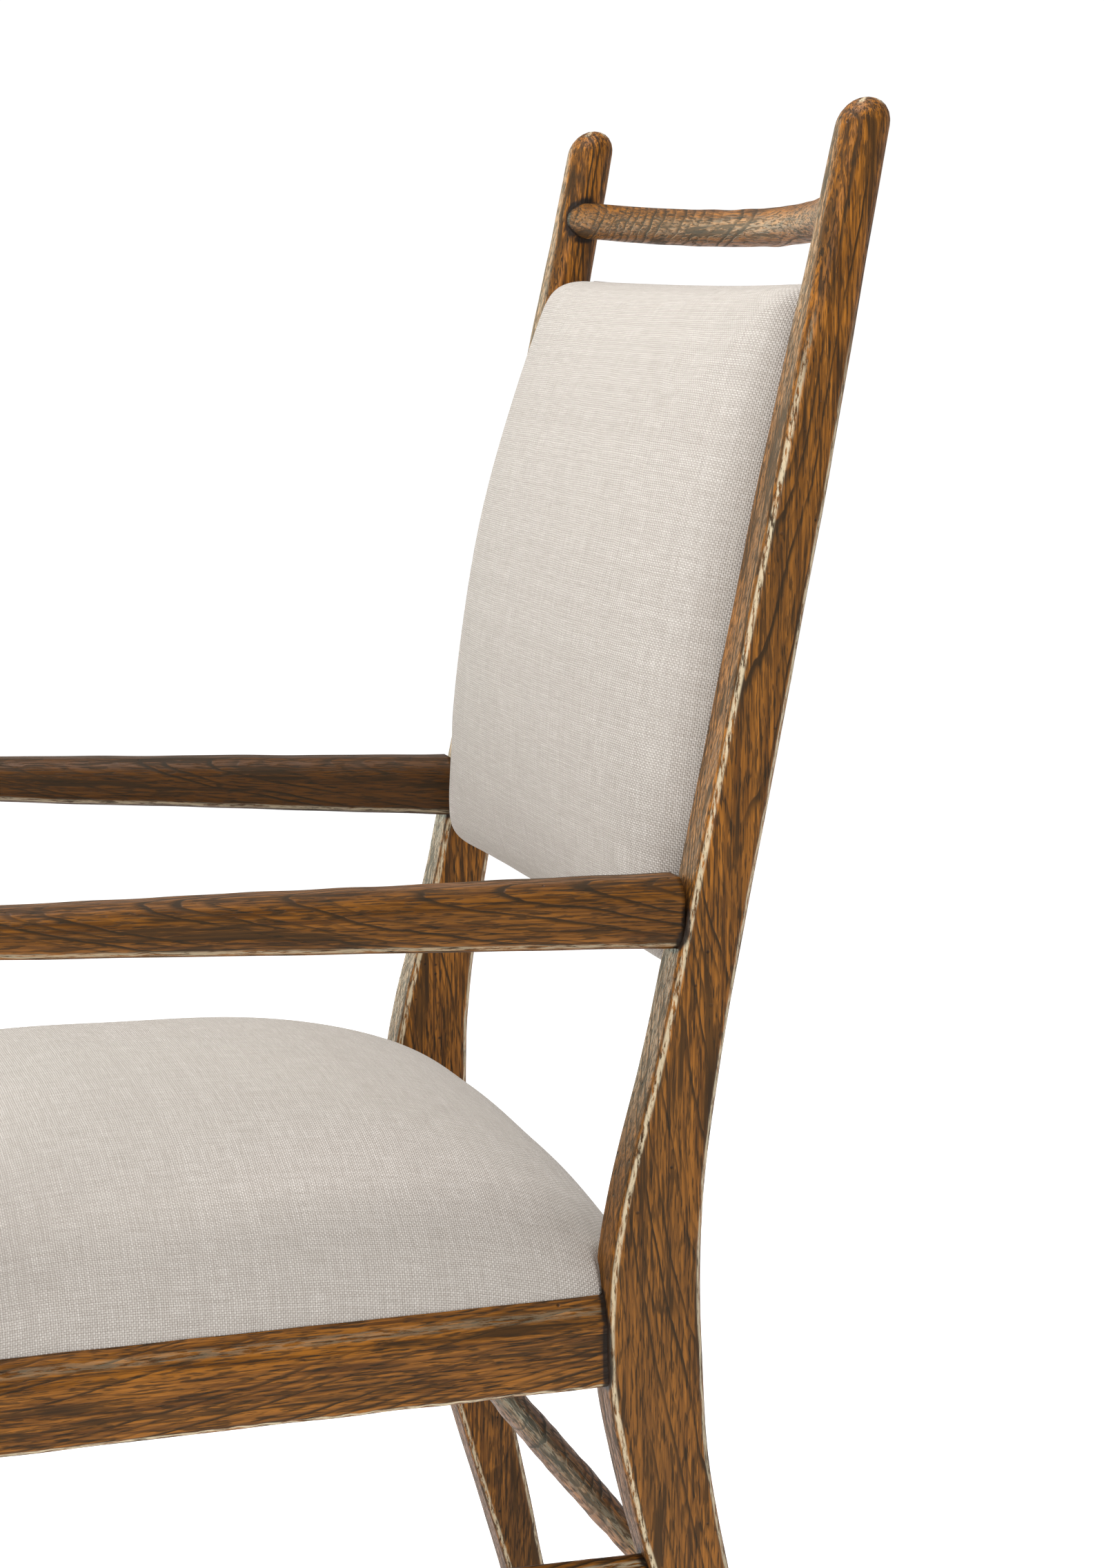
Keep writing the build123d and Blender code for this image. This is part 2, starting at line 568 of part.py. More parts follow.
with BuildPart() as back_pad_front:
    add(back_form.part)
    add(back_pad_rear.part, mode=Mode.SUBTRACT)
    add(back_core.part, mode=Mode.SUBTRACT)
    drill(pad_bolts, BOLT_RADIUS, BOLT_LENGTH)
    add(mirror(back_pad_front.part, about=Plane.YZ, mode=Mode.PRIVATE), mode=Mode.INTERSECT)


def glide(x, y):
    """Nylon disc under a foot, with the nail that holds it."""
    with BuildPart() as disc:
        with Locations((x, y, 0)):
            Cylinder(GLIDE_RADIUS, GLIDE_HEIGHT, align=(Align.CENTER, Align.CENTER, Align.MIN))
            Cylinder(NAIL_RADIUS, NAIL_LENGTH, align=(Align.CENTER, Align.CENTER, Align.MIN))
    return disc


pieces = {
    "rear_post_left": rear_post_left,
    "rear_post_right": rear_post_right,
    "crest_rail": crest_rail,
    "arm_left": arm_left,
    "arm_right": arm_right,
    "front_leg_left": front_leg_left,
    "front_leg_right": front_leg_right,
    "side_seat_rail_left": side_seat_rail_left,
    "side_seat_rail_right": side_seat_rail_right,
    "front_seat_rail": front_seat_rail,
    "rear_seat_rail": rear_seat_rail,
    "side_stretcher_left": side_stretcher,
    "side_stretcher_right": side_stretcher_right,
    "front_stretcher": front_stretcher,
    "rear_stretcher": rear_stretcher,
    "corner_block_front_left": corner_block_front_left,
    "corner_block_front_right": other_side(corner_block_front_left),
    "corner_block_rear_left": corner_block_rear_left,
    "corner_block_rear_right": other_side(corner_block_rear_left),
    "seat_board": seat_board,
    "seat_dust_cover": seat_dust_cover,
    "seat_cushion": seat_cushion,
    "back_core": back_core,
    "back_pad_front": back_pad_front,
    "back_pad_rear": back_pad_rear,
    "arm_rear_dowels": pegs([arm_rear_joint], ARM_DOWEL_RADIUS, DOWEL_LENGTH),
    "arm_front_dowels": pegs([arm_front_joint], ARM_DOWEL_RADIUS, LEG_DOWEL_LENGTH),
    "side_rail_dowels": pegs(side_rail_joints, DOWEL_RADIUS, DOWEL_LENGTH),
    "front_rail_dowels": pegs(front_rail_joints, DOWEL_RADIUS, DOWEL_LENGTH),
    "rear_rail_dowels": pegs(rear_rail_joints, DOWEL_RADIUS, DOWEL_LENGTH),
    "back_bolts": pegs(pad_bolts, BOLT_RADIUS, BOLT_LENGTH),
    "corner_block_screws": screws(block_screws, BLOCK_SCREW_LENGTH),
    "seat_screws": screws(seat_screws, SEAT_SCREW_LENGTH),
    "foot_glide_rear_left": glide(POST_X, post_centre(0)),
    "foot_glide_rear_right": glide(-POST_X, post_centre(0)),
    "foot_glide_front_left": glide(leg_x(0), LEG_Y),
    "foot_glide_front_right": glide(-leg_x(0), LEG_Y),
}
os.makedirs("parts", exist_ok=True)
for label, piece in pieces.items():
    piece.part.label = label
    export_step(piece.part, f"parts/{label}.step")
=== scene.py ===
"""Looks of an open-arm dining chair: stained and glazed oak, tight linen upholstery.

Metres, in the CAD model's frame: +Z up, +X to the sitter's left, -Y to the front.
"""
import bpy
import numpy as np
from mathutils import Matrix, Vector


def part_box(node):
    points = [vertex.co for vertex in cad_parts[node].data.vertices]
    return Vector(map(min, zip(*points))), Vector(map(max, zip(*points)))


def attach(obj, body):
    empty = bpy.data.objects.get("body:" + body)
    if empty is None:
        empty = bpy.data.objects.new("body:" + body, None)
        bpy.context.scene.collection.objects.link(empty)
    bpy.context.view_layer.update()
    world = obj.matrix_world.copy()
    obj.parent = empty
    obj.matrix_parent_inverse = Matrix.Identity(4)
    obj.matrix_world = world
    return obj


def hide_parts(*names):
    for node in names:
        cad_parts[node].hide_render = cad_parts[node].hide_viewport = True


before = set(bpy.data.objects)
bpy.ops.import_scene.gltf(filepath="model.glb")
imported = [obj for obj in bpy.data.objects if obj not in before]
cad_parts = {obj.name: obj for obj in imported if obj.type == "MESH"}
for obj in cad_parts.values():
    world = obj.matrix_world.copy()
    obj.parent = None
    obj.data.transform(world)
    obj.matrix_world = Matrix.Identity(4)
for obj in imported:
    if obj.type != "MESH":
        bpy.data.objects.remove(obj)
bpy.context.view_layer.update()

MM = 0.001
X, Y, Z = 0, 1, 2

# Camera
CAMERA_PLACE = (2.0247, -0.4272, 1.0079)
CAMERA_TURN = np.radians(16.544)  # its sight line, seen from above, off the -X axis
CAMERA_DIP = np.radians(8.496)
CAMERA_LENS = 79.2
CAMERA_SENSOR = 36.0

# Where members run into their neighbours, so that no end shows
ARM_END = 0.172  # Y, inside the rear post
LEG_TOP = 0.668  # Z, inside the arm
SIDE_RAIL_SPAN = (-0.272, 0.136)  # Y, from inside the front leg to inside the rear post
FRONT_RAIL_REACH, REAR_RAIL_REACH, CREST_REACH = 0.268, 0.238, 0.237  # X, inside the uprights
TENON = 0.014  # left out of a stretcher's read sections at each end

# Seat cover: where its corners are cut back for the uprights
POST_NOTCH_Y = 0.1272
LEG_NOTCH_X, LEG_NOTCH_Y = 0.2593, -0.2605

# Pattern of the oak and of the linen
RING_WIDTH = 0.0036
RING_SLANT = 0.17  # how far the tree's middle leans from a member's axis
# How far the joints' dark glaze and painted shade spread from where members meet
GLAZE_AND_SHADE_SPREAD = 2.6 * MM
THREAD_PITCH = 0.0013

# Upholstery
RAKE = np.radians(11.2)
SWELL = 0.0012
PRESSURE = 4.0
SIM_FRAMES = 20
SEAT_DRIFT = 0.005  # share by which the seat cover's foot stands outside its plan
PAD_RISE = 0.0125  # from the CAD pad's top to the covers' seam, up the leaning plane

# Section corners, in the order (+a +b), (-a +b), (-a -b), (+a -b); each is the two radii in
# millimetres and a flatness: 1 is a round corner, more is a bevel
SOFT = (5.0, 5.0, 1.0)
CRISP = (3.6, 3.6, 1.25)
BEVEL = (10.0, 16.0, 1.5)
ARM_TOP = (11.0, 12.0, 1.1)
ARM_UNDER = (9.0, 9.0, 1.0)
ROUND = (99.0, 99.0, 1.0)


# ---------------------------------------------------------------- reading the CAD frame
def cad_points(node):
    """A CAD node's vertices and edges as arrays."""
    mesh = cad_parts[node].data
    points = np.empty(len(mesh.vertices) * 3)
    mesh.vertices.foreach_get("co", points)
    edges = np.empty(len(mesh.edges) * 2, dtype=np.int64)
    mesh.edges.foreach_get("vertices", edges)
    return points.reshape(-1, 3), edges.reshape(-1, 2)


def cad_sections(node, axis, stations):
    """Lowest and highest corners of a CAD node's sections across an axis.

    Each edge that crosses a station's plane gives the point where it crosses, and the
    section's box holds those points. A short running mean takes out the facets."""
    points, edges = cad_points(node)
    start, end = points[edges[:, 0]], points[edges[:, 1]]
    low, high = [], []
    for station in stations:
        crossing = (start[:, axis] - station) * (end[:, axis] - station) < 0
        a, b = start[crossing], end[crossing]
        share = (station - a[:, axis]) / (b[:, axis] - a[:, axis])
        cut = a + (b - a) * share[:, None]
        low.append(cut.min(axis=0))
        high.append(cut.max(axis=0))
    low, high = np.array(low), np.array(high)
    for side in (low, high):
        side[1:-1] = (side[:-2] + side[1:-1] + side[2:]) / 3
    return low, high


# ---------------------------------------------------------------- surfaces from numpy
def ripple(points, wavelength, seed):
    """Smooth unevenness between -1 and 1: a sum of sine waves in seeded directions."""
    draw = np.random.default_rng(seed)
    total = np.zeros(points.shape[:-1])
    for _ in range(7):
        direction = draw.normal(size=3)
        direction *= 2 * np.pi / (wavelength * draw.uniform(0.6, 1.6)) / np.linalg.norm(direction)
        total += np.sin(points @ direction + draw.uniform(0, 2 * np.pi))
    return total / 3.5


def section_rings(half_a, half_b, corners, per_arc=8, per_side=6):
    """Rounded-rectangle rings, one for each pair of half sizes.

    Each corner is a quarter of a superellipse about a centre set in by its two radii; its
    flatness raises cosine and sine to a power, which turns the arc into a bevel. Straight
    sides are divided evenly. Returns (n, ring, 2) points and each point's arris weight."""
    signs = ((1, 1), (-1, 1), (-1, -1), (1, -1))
    arcs, weights = [], []
    for quarter, ((sign_a, sign_b), corner) in enumerate(zip(signs, corners)):
        radius_a, radius_b, flatness = (np.asarray(value)[..., None] for value in corner)
        radius_a = np.minimum(radius_a * MM, half_a[:, None] * 0.995)
        radius_b = np.minimum(radius_b * MM, half_b[:, None] * 0.995)
        turn = np.linspace(0, np.pi / 2, per_arc)[None, :]
        turn = turn if quarter % 2 == 0 else np.pi / 2 - turn
        arc_a = np.cos(turn).clip(1e-9) ** flatness
        arc_b = np.sin(turn).clip(1e-9) ** flatness
        arc = np.stack(
            [
                sign_a * (half_a[:, None] - radius_a + radius_a * arc_a),
                sign_b * (half_b[:, None] - radius_b + radius_b * arc_b),
            ],
            axis=-1,
        )
        arcs.append(arc)
        keen = np.clip((13 * MM - np.minimum(radius_a, radius_b)) / (6 * MM), 0, 1)
        weights.append(keen * np.sin(2 * np.clip(turn, 0, np.pi / 2)).clip(0) ** 4)
    ring, weight = [], []
    for corner in range(4):
        ring.append(arcs[corner])
        weight.append(weights[corner])
        share = np.linspace(0, 1, per_side + 2)[None, 1:-1, None]
        here, after = arcs[corner][:, -1:, :], arcs[(corner + 1) % 4][:, :1, :]
        ring.append(here + (after - here) * share)
        weight.append(np.zeros((len(half_a), per_side)))
    return np.concatenate(ring, axis=1), np.concatenate(weight, axis=1)


def make_piece(name, points, faces, attributes=None, uv=None):
    """A mesh object from whole arrays, smooth, with its place in its mesh."""
    mesh = bpy.data.meshes.new(name)
    mesh.from_pydata(points.reshape(-1, 3).tolist(), [], [list(face) for face in faces])
    for label, values in (attributes or {}).items():
        if values.ndim == 2:
            layer = mesh.attributes.new(label, "FLOAT_VECTOR", "POINT")
            layer.data.foreach_set("vector", values.astype(np.float32).ravel())
        else:
            layer = mesh.attributes.new(label, "FLOAT", "POINT")
            layer.data.foreach_set("value", values.astype(np.float32).ravel())
    if uv is not None:
        corners = np.empty(len(mesh.loops), dtype=np.int64)
        mesh.loops.foreach_get("vertex_index", corners)
        layer = mesh.uv_layers.new(name="cloth")
        layer.data.foreach_set("uv", uv[corners].astype(np.float32).ravel())
    mesh.shade_smooth()
    mesh.validate()
    piece = bpy.data.objects.new(name, mesh)
    bpy.context.scene.collection.objects.link(piece)
    return piece


def ring_faces(stations, around):
    """Quads between neighbouring rings, and a fan over each end's middle point."""
    row = np.arange(stations - 1)[:, None] * around
    column = np.arange(around)[None, :]
    after = (column + 1) % around
    ahead = row + around
    quads = np.stack([row + column, row + after, ahead + after, ahead + column], axis=-1)
    first, last = stations * around, stations * around + 1
    ring = np.arange(around)
    turn = (ring + 1) % around
    base = (stations - 1) * around
    near = np.stack([turn, ring, np.full(around, first)], axis=-1)
    far = np.stack([base + ring, base + turn, np.full(around, last)], axis=-1)
    return quads.reshape(-1, 4).tolist() + near.tolist() + far.tolist()


timber = {}


def member(
    name, axis, span, count, corners, read=None, ends=(0.0, 0.0), pith=(-0.045, 0.0), seed=0,
    sawn=False, stain_and_shade=1.0,
):
    """A wooden member: rings across an axis, sized by the CAD node's own sections.

    Stations outside the `read` span keep the line of the sections inside it, so that an end
    can run into its neighbour. `ends` rounds an end over by that many metres: the last
    rings draw in on a quarter circle. The wood is worked by hand, so the arrises and faces
    wander by a few tenths of a millimetre. `pith` is where the tree's middle lies from the
    section's middle. A sawn member is cut from a straight board, so its grain keeps to the
    axis where the member curves; the grain of the others follows them. `stain_and_shade` is 1
    for an orange board and falls as the stain has taken darker; it falls further as painted
    shade on a member that stands in less light."""
    start, stop = span
    stations = np.linspace(start, stop, count)
    for end, station, sign in ((ends[0], start, 1), (ends[1], stop, -1)):
        if end:
            step = end * (1 - np.cos(np.linspace(0, np.pi / 2, 7)))
            stations = np.union1d(stations, station + sign * step)
    inside = np.linspace(*(read or (start + 0.0004, stop - 0.0004)), count)
    low, high = cad_sections(name, axis, inside)
    across = [other for other in (X, Y, Z) if other != axis]
    fits = []
    for side in (low, high):
        columns = []
        for other in across:
            line = np.interp(stations, inside, side[:, other])
            before, after = stations < inside[0], stations > inside[-1]
            for beyond, edge, step in ((before, 0, 5), (after, -1, -6)):
                slope = (side[step, other] - side[edge, other]) / (inside[step] - inside[edge])
                line[beyond] = side[edge, other] + slope * (stations[beyond] - inside[edge])
            columns.append(line)
        fits.append(np.stack(columns, axis=-1))
    centre = (fits[0] + fits[1]) / 2
    half = (fits[1] - fits[0]) / 2
    for end, station, sign in ((ends[0], start, 1), (ends[1], stop, -1)):
        if end:
            gone = np.clip(1 - sign * (stations - station) / end, 0, 1)
            half -= (end * (1 - np.sqrt(1 - gone**2)))[:, None] * 0.9
    shapes = corners(stations) if callable(corners) else corners
    ring, keen = section_rings(half[:, 0], half[:, 1], shapes)
    points = np.zeros((len(stations), ring.shape[1], 3))
    points[..., axis] = stations[:, None]
    points[..., across[0]] = centre[:, None, 0] + ring[..., 0]
    points[..., across[1]] = centre[:, None, 1] + ring[..., 1]
    outward = ring / np.linalg.norm(ring, axis=-1, keepdims=True).clip(1e-6)
    worn = 0.28 * MM * ripple(points, 0.05, seed)
    worn = worn - 0.45 * MM * keen * (1 + ripple(points, 0.016, seed + 50))
    points[..., across[0]] += outward[..., 0] * worn
    points[..., across[1]] += outward[..., 1] * worn
    if axis == Y:
        points, ring, keen = points[:, ::-1], ring[:, ::-1], keen[:, ::-1]
    strayed = centre - np.median(centre, axis=0) if sawn else np.zeros_like(centre)
    grain = np.stack(
        [
            ring[..., 0] + pith[0] + strayed[:, None, 0],
            ring[..., 1] + pith[1] + strayed[:, None, 1],
            np.broadcast_to(stations[:, None], keen.shape) + seed * 1.7,
        ],
        axis=-1,
    )
    middles = points[[0, -1]].mean(axis=1)
    grain_ends = grain[[0, -1]].mean(axis=1)
    timber[name] = {
        "points": np.concatenate([points.reshape(-1, 3), middles]),
        "grain": np.concatenate([grain.reshape(-1, 3), grain_ends]),
        "arris": np.concatenate([keen.ravel(), [0.0, 0.0]]),
        "stain_and_shade": np.full(keen.size + 2, stain_and_shade),
        "faces": ring_faces(len(stations), ring.shape[1]),
    }


def nearness(name, reach=0.012):
    """How near each point of a member is to another piece: 1 where they meet, 0 beyond. It sets
    where the dark glaze and painted shade at the joints fall.
    """
    points = timber[name]["points"]
    near = np.zeros(len(points))
    low, high = points.min(axis=0) - reach, points.max(axis=0) + reach
    for other, made in timber.items():
        if other == name:
            continue
        theirs = made["points"]
        theirs = theirs[((theirs > low) & (theirs < high)).all(axis=1)]
        if not len(theirs):
            continue
        box = (points > theirs.min(axis=0) - reach) & (points < theirs.max(axis=0) + reach)
        mine = np.flatnonzero(box.all(axis=1))
        for part in np.array_split(mine, max(1, len(mine) * len(theirs) // 4_000_000)):
            gap = np.linalg.norm(points[part, None] - theirs[None], axis=-1).min(axis=1, initial=1)
            near[part] = np.maximum(near[part], np.exp(-(gap / GLAZE_AND_SHADE_SPREAD) ** 2))
    return near


def grid_faces(rows, columns, flip=False):
    """Quads of a grid of points."""
    row = np.arange(rows - 1)[:, None] * columns
    near = row + np.arange(columns - 1)[None, :]
    far = near + columns
    quads = np.stack([near, near + 1, far + 1, far], axis=-1)
    return (quads[..., ::-1] if flip else quads).reshape(-1, 4)


def shut(front, back):
    """Points and faces of a closed form from two grids that share their border."""
    rows, columns = front.shape[:2]
    number = np.arange(rows * columns).reshape(rows, columns)
    behind = number + rows * columns
    for edge in ((0, ...), (-1, ...), (..., 0), (..., -1)):
        behind[edge] = number[edge]
    rear = behind.ravel()[grid_faces(rows, columns, flip=True)]
    faces = np.concatenate([grid_faces(rows, columns), rear])
    kept, index = np.unique(faces, return_inverse=True)
    points = np.concatenate([front.reshape(-1, 3), back.reshape(-1, 3)])[kept]
    return points, index.reshape(faces.shape), kept


def crowded(count, power):
    """Values from -1 to 1 that crowd towards both ends."""
    even = np.linspace(-1, 1, count)
    return np.sign(even) * (1 - (1 - np.abs(even)) ** power)


def unrolled(grid):
    """Cloth coordinates of a grid in metres: lengths along rows and columns from its middle."""
    rows, columns = grid.shape[:2]
    across = np.linalg.norm(np.diff(grid, axis=1), axis=-1)
    along = np.linalg.norm(np.diff(grid, axis=0), axis=-1)
    u = np.concatenate([np.zeros((rows, 1)), across.cumsum(axis=1)], axis=1)
    v = np.concatenate([np.zeros((1, columns)), along.cumsum(axis=0)], axis=0)
    u -= u[:, columns // 2, None]
    v -= v[None, rows // 2]
    return np.stack([u, v], axis=-1).reshape(-1, 2)


def settle(piece, held, pressure, cap):
    """Swells a cover as cloth under air pressure, held at some points.

    Each point's travel t is then cut to cap * tanh(t / cap), so that it never passes cap."""
    mesh = piece.data
    rest = np.empty(len(mesh.vertices) * 3)
    mesh.vertices.foreach_get("co", rest)
    group = piece.vertex_groups.new(name="held")
    group.add(np.flatnonzero(held).tolist(), 1.0, "REPLACE")
    cloth = piece.modifiers.new("Cloth", "CLOTH")
    cloth.settings.quality = 6
    cloth.settings.mass = 0.3
    cloth.settings.tension_stiffness = 12
    cloth.settings.compression_stiffness = 12
    cloth.settings.shear_stiffness = 6
    cloth.settings.bending_stiffness = 0.6
    cloth.settings.vertex_group_mass = "held"
    cloth.settings.use_pressure = True
    cloth.settings.uniform_pressure_force = pressure
    cloth.settings.effector_weights.gravity = 0
    cloth.collision_settings.use_collision = False
    cloth.point_cache.frame_start = 1
    cloth.point_cache.frame_end = SIM_FRAMES
    for number in range(1, SIM_FRAMES + 1):
        bpy.context.scene.frame_set(number)
    swollen = np.empty(rest.size)
    result = piece.evaluated_get(bpy.context.evaluated_depsgraph_get())
    result.data.vertices.foreach_get("co", swollen)
    travel = (swollen - rest).reshape(-1, 3)
    length = np.linalg.norm(travel, axis=1, keepdims=True).clip(1e-9)
    travel *= cap * np.tanh(length / cap) / length
    piece.modifiers.remove(cloth)
    piece.vertex_groups.remove(group)
    mesh.vertices.foreach_set("co", rest + travel.ravel())
    mesh.update()
    bpy.context.scene.frame_set(1)


# ---------------------------------------------------------------- materials
class Shade:
    """A material's node tree, with short calls for the nodes used here."""

    def __init__(self, name):
        self.material = bpy.data.materials.new(name)
        self.material.use_nodes = True
        self.nodes = self.material.node_tree.nodes
        self.links = self.material.node_tree.links
        self.surface = self.nodes["Principled BSDF"]

    def feed(self, socket, value):
        if isinstance(value, bpy.types.NodeSocket):
            self.links.new(value, socket)
        elif value is not None:
            socket.default_value = value

    def calc(self, operation, a, b=None, clamp=False):
        node = self.nodes.new("ShaderNodeMath")
        node.operation = operation
        node.use_clamp = clamp
        self.feed(node.inputs[0], a)
        self.feed(node.inputs[1], b)
        return node.outputs[0]

    def vector(self, operation, a, b=None):
        node = self.nodes.new("ShaderNodeVectorMath")
        node.operation = operation
        self.feed(node.inputs[0], a)
        self.feed(node.inputs[1], b)
        return node.outputs["Value" if operation in ("LENGTH", "DOT_PRODUCT") else "Vector"]

    def noise(self, at, scale, detail=2.0, roughness=0.5, output="Fac"):
        node = self.nodes.new("ShaderNodeTexNoise")
        self.feed(node.inputs["Vector"], at)
        node.inputs["Scale"].default_value = scale
        node.inputs["Detail"].default_value = detail
        node.inputs["Roughness"].default_value = roughness
        return node.outputs[output]

    def chance(self, value):
        node = self.nodes.new("ShaderNodeTexWhiteNoise")
        node.noise_dimensions = "1D"
        self.feed(node.inputs["W"], value)
        return node.outputs["Value"]

    def fade(self, value, low, high, to_low=0.0, to_high=1.0):
        node = self.nodes.new("ShaderNodeMapRange")
        node.interpolation_type = "SMOOTHSTEP"
        for socket, amount in zip(node.inputs, (value, low, high, to_low, to_high)):
            self.feed(socket, amount)
        return node.outputs[0]

    def mix(self, share, a, b):
        node = self.nodes.new("ShaderNodeMix")
        node.data_type = "RGBA"
        for number, value in ((0, share), (6, a), (7, b)):
            self.feed(node.inputs[number], value)
        return node.outputs[2]

    def read(self, label, output="Fac"):
        node = self.nodes.new("ShaderNodeAttribute")
        node.attribute_name = label
        return node.outputs[output]

    def bump(self, height, distance, strength=1.0):
        node = self.nodes.new("ShaderNodeBump")
        node.inputs["Strength"].default_value = strength
        node.inputs["Distance"].default_value = distance
        self.feed(node.inputs["Height"], height)
        self.feed(self.surface.inputs["Normal"], node.outputs[0])


def paint(red, green, blue):
    """A colour given by its 0 to 255 screen values, as the shader's linear light."""
    value = np.array([red, green, blue]) / 255
    linear = np.where(value <= 0.04045, value / 12.92, ((value + 0.055) / 1.055) ** 2.4)
    return (*linear.tolist(), 1.0)


def stained_oak():
    """Open-pored oak, stained orange-brown, with dark glaze left in the grain, and dark glaze with
    painted shade where members meet.

    The growth rings are cylinders about a tilted pith, so a face cuts them in nested
    arches. Each ring starts with a dark band of long pores and clears towards its end."""
    oak = Shade("stained_oak")
    grain = oak.read("grain", "Vector")
    slow = oak.vector("MULTIPLY", grain, (1.0, 1.0, 0.3))
    sway = oak.vector("SUBTRACT", oak.noise(slow, 16.0, 2.0, output="Color"), (0.5, 0.5, 0.5))
    fine_sway = oak.vector("SUBTRACT", oak.noise(slow, 90.0, 2.0, output="Color"), (0.5, 0.5, 0.5))
    bent = oak.vector("ADD", grain, oak.vector("MULTIPLY", sway, (0.016, 0.016, 0.0)))
    bent = oak.vector("ADD", bent, oak.vector("MULTIPLY", fine_sway, (0.0035, 0.0035, 0.0)))
    from_pith = oak.vector("LENGTH", oak.vector("MULTIPLY", bent, (1.0, 1.0, 0.0)))
    along = oak.vector("DOT_PRODUCT", bent, (0.0, 0.0, 1.0))
    leaned = oak.calc("SUBTRACT", from_pith, oak.calc("MULTIPLY", along, RING_SLANT))
    ring = oak.calc("DIVIDE", leaned, RING_WIDTH)
    phase = oak.calc("FRACT", ring)
    strength = oak.chance(oak.calc("FLOOR", ring))
    rise = oak.fade(phase, 0.0, 0.1)
    fall = oak.fade(phase, 0.16, 0.62, 1.0, 0.0)
    band = oak.calc("MULTIPLY", rise, fall)
    band = oak.calc("MULTIPLY", band, oak.fade(strength, 0.1, 0.9, 0.2, 1.0))

    pore_at = oak.vector("MULTIPLY", grain, (1.0, 1.0, 0.08))
    pores = oak.fade(oak.noise(pore_at, 900.0, 2.0), 0.5, 0.6)
    fibre_at = oak.vector("MULTIPLY", grain, (1.0, 1.0, 0.03))
    fibre = oak.noise(fibre_at, 520.0, 3.0, 0.6)
    blotch = oak.noise(slow, 38.0, 3.0, 0.6)
    glazed = oak.calc("MULTIPLY", band, oak.fade(blotch, 0.3, 0.6, 0.4, 1.1))
    broken = oak.calc("MULTIPLY", glazed, oak.fade(fibre, 0.35, 0.6, 0.7, 1.1))
    stray = oak.calc("MULTIPLY", pores, oak.fade(band, 0.0, 0.6, 0.75, 1.0))
    long = oak.vector("MULTIPLY", bent, (1.0, 1.0, 0.05))
    streak = oak.calc("MULTIPLY", oak.fade(oak.noise(long, 120.0, 4.0, 0.68), 0.52, 0.61), 0.85)
    dark = oak.calc("MAXIMUM", oak.calc("MAXIMUM", broken, stray), streak, clamp=True)

    tone = oak.mix(oak.fade(fibre, 0.32, 0.68), paint(86, 49, 6), paint(168, 106, 34))
    patch = oak.fade(oak.noise(slow, 9.0, 2.0), 0.35, 0.7, 0.0, 0.6)
    tone = oak.mix(patch, tone, paint(98, 64, 26))
    # Darker stain on some boards, with painted shade on the far arm
    tone = oak.mix(oak.read("stain_and_shade"), paint(62, 36, 8), tone)
    tone = oak.mix(oak.calc("MULTIPLY", dark, 0.9), tone, paint(32, 25, 12))

    chipped = oak.noise(oak.vector("MULTIPLY", grain, (1.0, 1.0, 0.12)), 620.0, 4.0, 0.7)
    rubbed = oak.fade(oak.read("arris"), 0.3, 0.85)
    arris = oak.calc("MULTIPLY", rubbed, oak.fade(chipped, 0.4, 0.54))
    tone = oak.mix(oak.calc("MULTIPLY", arris, 0.8), tone, paint(206, 190, 158))
    dents = oak.nodes.new("ShaderNodeTexVoronoi")
    oak.feed(dents.inputs["Vector"], grain)
    dents.inputs["Scale"].default_value = 95.0
    pick = oak.vector("DOT_PRODUCT", dents.outputs["Color"], (1.0, 0.0, 0.0))
    pit = oak.fade(dents.outputs["Distance"], 0.05, 0.13, 1.0, 0.0)
    dent = oak.calc("MULTIPLY", pit, oak.fade(pick, 0.72, 0.76))
    # Painted shade where a member meets another piece, with the dark glaze there, and darkening in
    # dents
    joint = oak.fade(oak.read("glaze_and_joint_shade"), 0.06, 0.5)
    shadow = oak.calc("MAXIMUM", oak.calc("MULTIPLY", joint, 0.94), oak.calc("MULTIPLY", dent, 0.8))
    tone = oak.mix(shadow, tone, paint(26, 18, 12))
    oak.feed(oak.surface.inputs["Base Color"], tone)
    oak.feed(oak.surface.inputs["Roughness"], oak.fade(dark, 0.0, 1.0, 0.42, 0.62))
    oak.surface.inputs["Specular IOR Level"].default_value = 0.2
    sunk = oak.calc("ADD", oak.calc("MULTIPLY", dark, -0.55), oak.calc("MULTIPLY", dent, -1.2))
    oak.bump(oak.calc("ADD", sunk, oak.calc("MULTIPLY", fibre, 0.35)), 0.0005, 0.8)
    return oak.material


